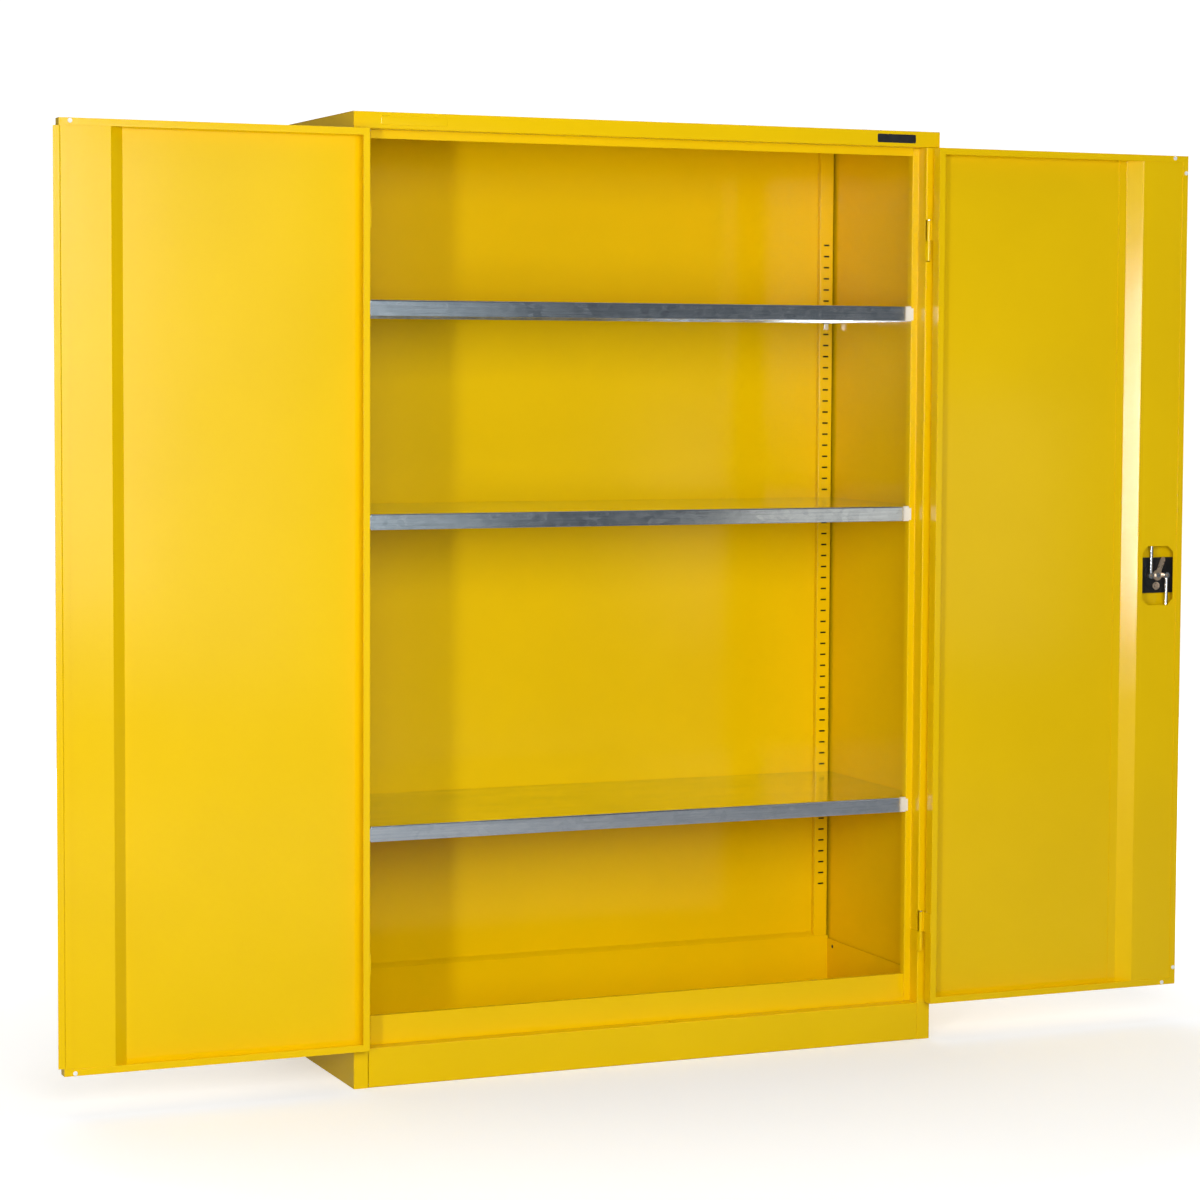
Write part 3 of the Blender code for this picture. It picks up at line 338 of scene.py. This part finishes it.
def galvanised(name):
    """Bright zinc sheet: faint spangle, long rolling streaks and a cloudy patina."""
    t = Tree(name)
    spangle = t.voronoi(scale=70.0, vector=t.scaled((1.0, 1.0, 1.35)))
    streaks = t.noise(scale=9.0, detail=7.0, roughness=0.72, vector=t.scaled((0.55, 5.0, 30.0)))
    fine = t.noise(scale=30.0, detail=5.0, roughness=0.7, vector=t.scaled((0.7, 12.0, 40.0)))
    clouds = t.noise(scale=5.5, detail=3.0)
    base = t.ramp(clouds, [(0.3, ZINC_GREY), (0.7, ZINC_BRIGHT)])
    rolled = t.maths("ADD", t.maths("MULTIPLY", streaks, 0.7), t.maths("MULTIPLY", fine, 0.3))
    tone = t.ramp(rolled, [(0.38, STREAK_DARK), (0.52, STREAK_MIDDLE), (0.64, WHITE)])
    base = t.mixed(1.0, base, tone, "MULTIPLY")
    # each cell of the spangle has three random values of its own
    cell = t.nodes.new("ShaderNodeSeparateColor")
    t.link(spangle, cell.inputs["Color"])
    fleck = t.ramp(cell.outputs["Red"], [(0.0, FLECK_DARK), (1.0, WHITE)])
    base = t.mixed(1.0, base, fleck, "MULTIPLY")
    # paler, rougher and less metallic near the right end of each shelf's front edge
    pale_end = pale_end_patch(t)
    t.link(t.mixed(pale_end, base, PALE_END_ZINC), t.shader.inputs["Base Color"])
    smooth = t.between(cell.outputs["Green"], *ZINC_ROUGH)
    rougher = t.maths("MULTIPLY", pale_end, PALE_END_ROUGHER)
    t.link(t.maths("ADD", smooth, rougher), t.shader.inputs["Roughness"])
    t.link(t.between(pale_end, 1.0, PALE_END_METALLIC), t.shader.inputs["Metallic"])
    t.bump(t.maths("ADD", t.maths("MULTIPLY", cell.outputs["Blue"], 0.3), fine), distance=0.00003)
    return t.material


# ------------------------------------------------------------------ plating and plastic
BRIGHT_TINT = (0.80, 0.80, 0.81)
BRIGHT_ROUGH = (0.10, 0.22)
# warm tint on the lock's cam and cylinder, standing in for the yellow surroundings they reflect:
# painted reflection
LOCK_WARM_TINT = (0.93, 0.70, 0.50)
LOCK_PLATE_ROUGH = (0.26, 0.38)
MILKY = 0.86


def plated(name, tint, rough):
    """Plated metal with fine scratches and slightly milky patches."""
    t = Tree(name)
    patches = t.noise(scale=90.0, detail=3.0)
    low = tuple(MILKY * c for c in tint)
    t.link(t.ramp(patches, [(0.35, low), (0.65, tint)]), t.shader.inputs["Base Color"])
    t.put(Metallic=1.0)
    t.patchy_roughness(t.noise(scale=160.0, detail=4.0), rough)
    scratches = t.noise(scale=900.0, detail=3.0, roughness=0.6, vector=t.scaled((1.0, 1.0, 0.12)))
    t.bump(scratches, distance=0.00003)
    return t.material


def moulded(name, low, high, rough=(0.34, 0.48)):
    """Moulded plastic with a fine spark-eroded texture."""
    t = Tree(name)
    clouds = t.noise(scale=60.0, detail=3.0)
    t.link(t.ramp(clouds, [(0.3, low), (0.7, high)]), t.shader.inputs["Base Color"])
    t.patchy_roughness(t.noise(scale=240.0, detail=3.0), rough)
    t.put(Specular_IOR_Level=0.25)
    t.bump(t.voronoi(scale=1400.0, output="Distance"), distance=0.00004)
    return t.material


# ------------------------------------------------------------------ floor
FLOOR_HALF = 9.0
FLOOR_FRONT = -3.9
FLOOR_BACK = 4.6
FLOOR_GREY = (0.90, 0.90, 0.90)
FLOOR_PALE = (0.93, 0.93, 0.93)
# the floor glows more away from the cabinet, so that it meets the backdrop without a line
GLOW_NEAR, GLOW_FAR = 0.30, 1.10
GLOW_FROM, GLOW_TO = 1.3, 3.0
# what the light that bounces meets, so that the cabinet isn't lit from below
FLOOR_BOUNCE = (0.40, 0.41, 0.43)


def floor_white():
    """White floor for the camera, dull grey for the light that bounces."""
    t = Tree("floor_white")
    clouds = t.noise(scale=2.0)
    t.link(t.ramp(clouds, [(0.0, FLOOR_GREY), (1.0, FLOOR_PALE)]), t.shader.inputs["Base Color"])
    t.put(Roughness=0.9, Specular_IOR_Level=0.0, Emission_Color=(*WHITE, 1.0))
    reach = t.nodes.new("ShaderNodeVectorMath")
    reach.operation = "LENGTH"
    t.link(t.place, reach.inputs[0])
    glow = t.between(reach.outputs["Value"], GLOW_NEAR, GLOW_FAR, GLOW_FROM, GLOW_TO)
    t.link(glow, t.shader.inputs["Emission Strength"])
    dull = t.nodes.new("ShaderNodeBsdfDiffuse")
    dull.inputs["Color"].default_value = (*FLOOR_BOUNCE, 1.0)
    only_for_camera(t.nodes, t.links, t.shader.outputs["BSDF"], dull.outputs["BSDF"],
                    t.nodes["Material Output"].inputs["Surface"])
    return t.material


def stage_floor():
    """Flat floor that the cabinet stands on."""
    shape = bmesh.new()
    corners = ((-FLOOR_HALF, FLOOR_FRONT), (FLOOR_HALF, FLOOR_FRONT),
               (FLOOR_HALF, FLOOR_BACK), (-FLOOR_HALF, FLOOR_BACK))
    shape.faces.new([shape.verts.new((x, y, 0.0)) for x, y in corners])
    mesh = bpy.data.meshes.new("floor")
    shape.to_mesh(mesh)
    shape.free()
    floor = bpy.data.objects.new("floor", mesh)
    SCENE.collection.objects.link(floor)
    mesh.materials.append(floor_white())


# ------------------------------------------------------------------ CAD nodes
SLOT_LOOKS = {
    "yellow_paint": powder_coat("powder_coat"),
    "galvanised_steel": galvanised("galvanised_sheet"),
    "plated_steel": plated("bright_plate", BRIGHT_TINT, BRIGHT_ROUGH),
    "black_plastic": moulded("black_moulding", (0.010, 0.010, 0.011), (0.018, 0.018, 0.019)),
    "white_nylon": moulded("white_nylon", (0.82, 0.82, 0.79), (0.90, 0.90, 0.88), (0.40, 0.55)),
}
EDGE = {
    "yellow_paint": 0.00035,
    "galvanised_steel": 0.00055,
    "plated_steel": 0.0003,
    "black_plastic": 0.0005,
    "white_nylon": 0.0005,
}
EDGE_ANGLE = math.radians(28.0)
EDGE_STEPS = 2
WELD_DISTANCE = 0.00002


def finish_node(node, look, edge):
    """Give a CAD node its material and eased edges, without touching its mesh."""
    node.data.materials.clear()
    node.data.materials.append(look)
    weld = node.modifiers.new("weld", "WELD")
    weld.merge_threshold = WELD_DISTANCE
    bevel = node.modifiers.new("eased_edges", "BEVEL")
    bevel.width = edge
    bevel.segments = EDGE_STEPS
    bevel.limit_method = "ANGLE"
    bevel.angle_limit = EDGE_ANGLE
    bevel.miter_outer = "MITER_ARC"
    normals = node.modifiers.new("normals", "WEIGHTED_NORMAL")
    normals.keep_sharp = False
    node.data.shade_smooth()


def finish_nodes():
    """Finish every CAD node by its slot; a few have a look of their own."""
    # the lock's cam and cylinder get a warm tint: painted reflection of the yellow surroundings
    lock_warm_plate = plated("plate_painted_warm_reflection", LOCK_WARM_TINT, LOCK_PLATE_ROUGH)
    # the back panel and the rear uprights get painted shade inside the channels
    channels = powder_coat("powder_coat_painted_channel_shade", painted_channel_shade=True)
    own_looks = {"lock_cam": lock_warm_plate, "lock_cylinder": lock_warm_plate, "back_panel": channels,
                 "upright_rear_left": channels, "upright_rear_right": channels}
    for item in frame["record"]["subparts"]:
        slot = item["material_slot"]
        look = own_looks.get(item["node"], SLOT_LOOKS[slot])
        finish_node(NODES[item["node"]], look, EDGE[slot])


# ------------------------------------------------------------------ small trim
CORNER_STEPS = 8
DOME_STEPS = 5
SUNK = 0.0001
QUARTER = math.radians(90.0)
SHARP_ANGLE = math.radians(50.0)
LABEL_INK = ((0.016, 0.016, 0.018), (0.030, 0.030, 0.032))
LABEL_ROUGH = (0.30, 0.42)

# a pad's width, height, corner radius, rise and rounded rim
LABEL = (0.086, 0.017, 0.003, 0.0004, 0.0004)
RAISED_PAD = (0.132, 0.017, 0.004, 0.0008, 0.0022)
# black dots that stand for the shade in holes in the sump's sides: painted shade
HOLE_SHADE_DOT = (0.0076, 0.0076, 0.0037, 0.0009, 0.0018)

# the header's trim is placed from the top panel's front corners
HEADER_TRIM_DOWN = 0.0157
LABEL_IN = 0.097
RAISED_PAD_IN = 0.118

# a hole's dark dot is placed from the sump tray's sides and floor and the rear uprights' front
TRAY_SHEET = 0.0012
HOLE_DOT_UP = 0.0855
HOLE_DOT_BEFORE_UPRIGHT = 0.0265


def rounded_outline(width, height, radius):
    """Rounded rectangle about the origin, counter-clockwise, as (across, up) pairs."""
    points = []
    for quarter, (side, up) in enumerate(((1, 1), (-1, 1), (-1, -1), (1, -1))):
        middle = (side * (width / 2.0 - radius), up * (height / 2.0 - radius))
        for step in range(CORNER_STEPS + 1):
            angle = QUARTER * (quarter + step / CORNER_STEPS)
            points.append((middle[0] + radius * math.cos(angle), middle[1] + radius * math.sin(angle)))
    return points


def domed_pad(width, height, radius, rise, edge):
    """Closed pad on the XZ plane, its rim rounded over `edge`, standing `rise` toward -Y."""
    shape = bmesh.new()
    rings = []
    # the first ring is sunk behind the plane, so that no gap shows
    for level in range(-1, DOME_STEPS + 1):
        angle = QUARTER * max(level, 0) / DOME_STEPS
        inset = edge * (1.0 - math.cos(angle))
        out = SUNK if level < 0 else -rise * math.sin(angle)
        ring = rounded_outline(width - 2.0 * inset, height - 2.0 * inset, max(radius - inset, SUNK))
        rings.append([shape.verts.new((x, out, z)) for x, z in ring])
    count = len(rings[0])
    for low, high in zip(rings, rings[1:]):
        for k in range(count):
            after = (k + 1) % count
            shape.faces.new((low[k], low[after], high[after], high[k]))
    shape.faces.new(rings[0])
    shape.faces.new(list(reversed(rings[-1])))
    bmesh.ops.recalc_face_normals(shape, faces=shape.faces)
    return shape


def add_trim(name, shape, place, look, turn=0.0):
    """Put a pad at a place, turned about Z, riding on the cabinet."""
    shape.transform(Matrix.Translation(place) @ Matrix.Rotation(turn, 4, "Z"))
    mesh = bpy.data.meshes.new(name)
    shape.to_mesh(mesh)
    shape.free()
    mesh.materials.append(look)
    mesh.shade_smooth()
    mesh.set_sharp_from_angle(angle=SHARP_ANGLE)
    piece = bpy.data.objects.new(name, mesh)
    SCENE.collection.objects.link(piece)
    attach(piece, "cabinet")


def header_trim():
    """Blank label at the header's right end and a blank raised pad at its left end."""
    low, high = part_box("top_panel")
    z = high.z - HEADER_TRIM_DOWN
    label_look = moulded("label_print", *LABEL_INK, LABEL_ROUGH)
    add_trim("header_label", domed_pad(*LABEL), (high.x - LABEL_IN, low.y, z),
             label_look)
    add_trim("header_pad", domed_pad(*RAISED_PAD), (low.x + RAISED_PAD_IN, low.y, z),
             SLOT_LOOKS["yellow_paint"])


def sump_hole_shade_dots():
    """Black domed dots in the sump's sides, near its rear corners: painted shade of the holes there.
    """
    low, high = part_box("sump_tray")
    inner = high.x - TRAY_SHEET
    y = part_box("upright_rear_right")[0].y - HOLE_DOT_BEFORE_UPRIGHT
    for side, label in ((-1.0, "left"), (1.0, "right")):
        add_trim(f"sump_hole_shade_{label}", domed_pad(*HOLE_SHADE_DOT), (side * inner, y, low.z + HOLE_DOT_UP),
                 SLOT_LOOKS["black_plastic"], turn=-side * QUARTER)


make_camera()
studio()
stage_floor()
finish_nodes()
header_trim()
sump_hole_shade_dots()
